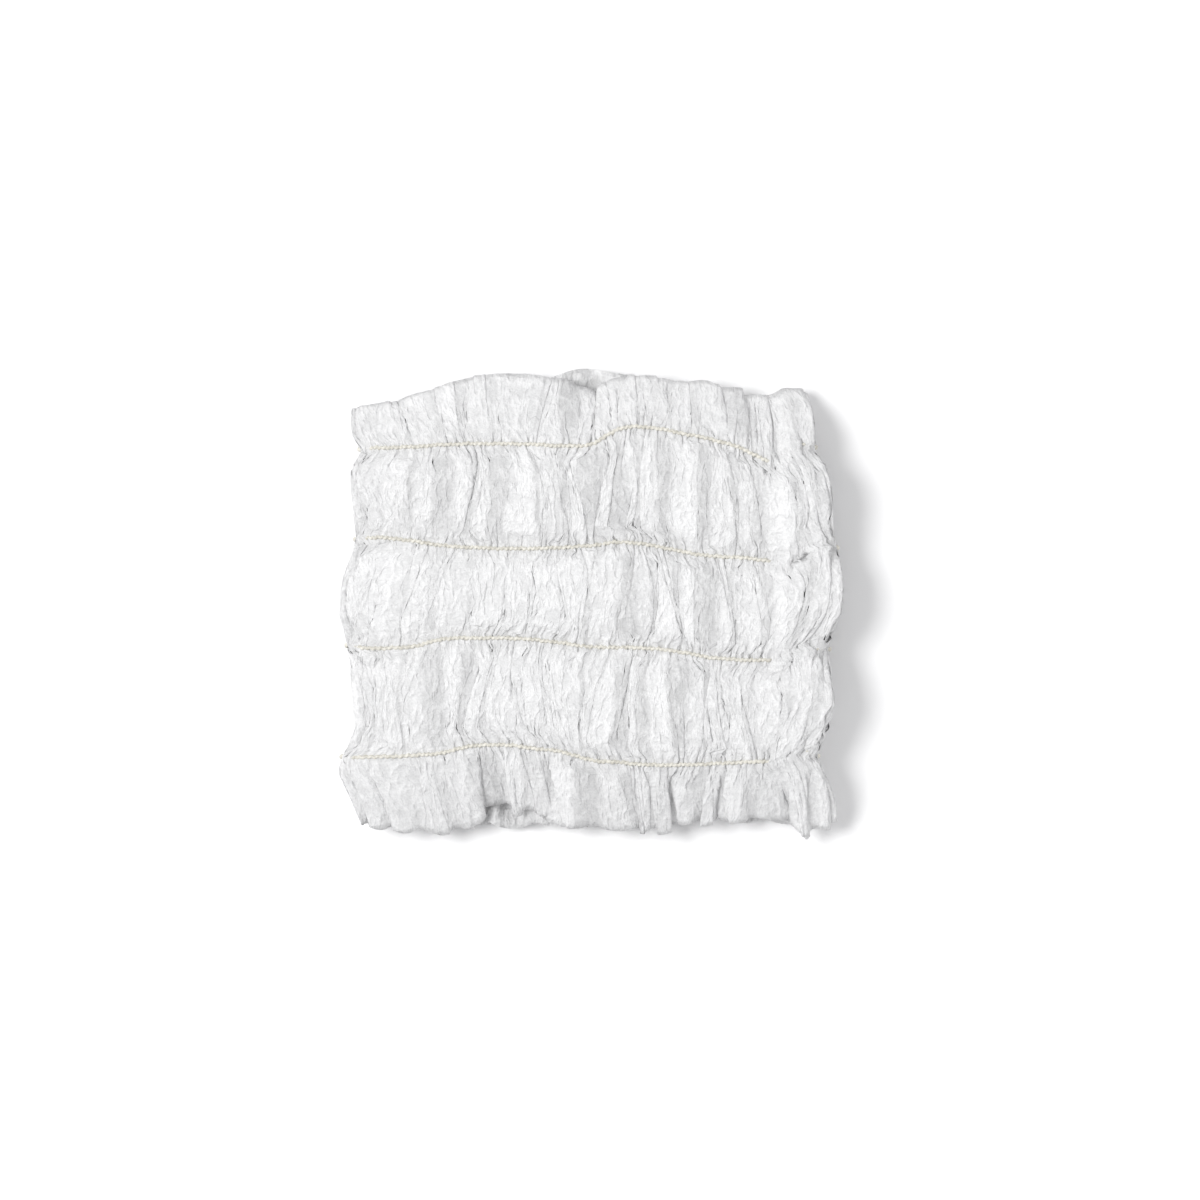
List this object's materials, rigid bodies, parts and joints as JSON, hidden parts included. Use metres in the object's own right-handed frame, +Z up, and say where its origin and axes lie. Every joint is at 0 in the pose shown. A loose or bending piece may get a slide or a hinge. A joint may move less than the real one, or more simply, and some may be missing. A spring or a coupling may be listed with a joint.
{
  "type": "disposable headband",
  "caption": "Disposable headband of thin non-woven cloth, gathered by stitched elastic threads and sewn into a wide ruffled loop, lying collapsed flat.",
  "frame": {"origin": "on the table, under the middle of the lying loop", "axes": "+Z up from the table, +Y along the loop's axis, +X across the flattened loop towards the side with the seam"},
  "size_m": [0.1031, 0.0953, 0.0181],
  "materials": {
    "nonwoven": "matte fuzzy thin white non-woven",
    "elastic": "matte ivory covered elastic thread"
  },
  "bodies": {
    "root": {"gathered_band": "nonwoven", "elastic_top": "elastic", "elastic_upper": "elastic", "elastic_lower": "elastic", "elastic_bottom": "elastic"}
  },
  "joints": []
}
